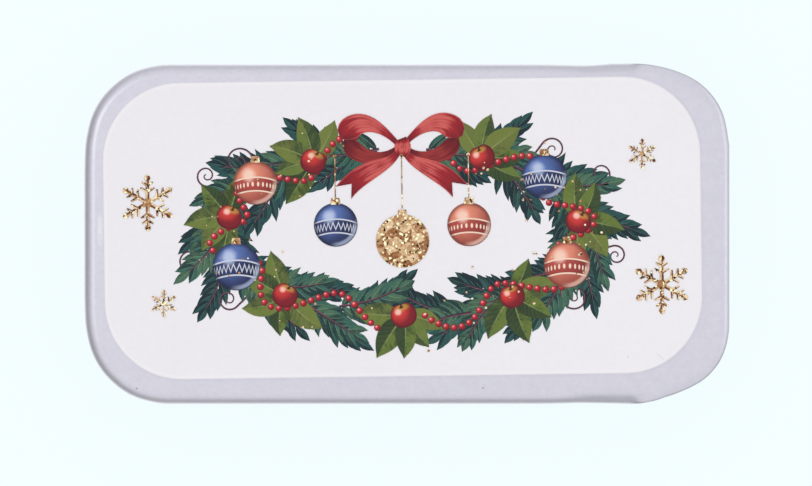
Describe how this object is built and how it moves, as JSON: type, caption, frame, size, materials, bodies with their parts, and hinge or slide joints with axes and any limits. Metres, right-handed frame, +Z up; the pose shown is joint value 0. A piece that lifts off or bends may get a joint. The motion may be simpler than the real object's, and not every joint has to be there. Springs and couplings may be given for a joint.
{
  "type": "bead tin",
  "caption": "Flat rectangular pressed tin with rounded corners, a curled bead round its rim and a slide-off lid that carries a printed label.",
  "frame": {"origin": "on the floor, under the middle of the closed tin", "axes": "+X along the length towards the lid's open lip, +Y across the width, +Z up"},
  "size_m": [0.095, 0.0504, 0.0153],
  "materials": {
    "base_tinplate": "satin",
    "lid_tinplate": "satin",
    "label_face": "satin print"
  },
  "bodies": {
    "base": {"base": "base_tinplate"},
    "lid": {"sliding_lid": "lid_tinplate", "label": "label_face"}
  },
  "joints": [
    {"name": "lid_slide", "type": "slide", "parent": "base", "child": "lid", "axis": [-1, 0, 0], "range_m": [0, 0.096]}
  ]
}
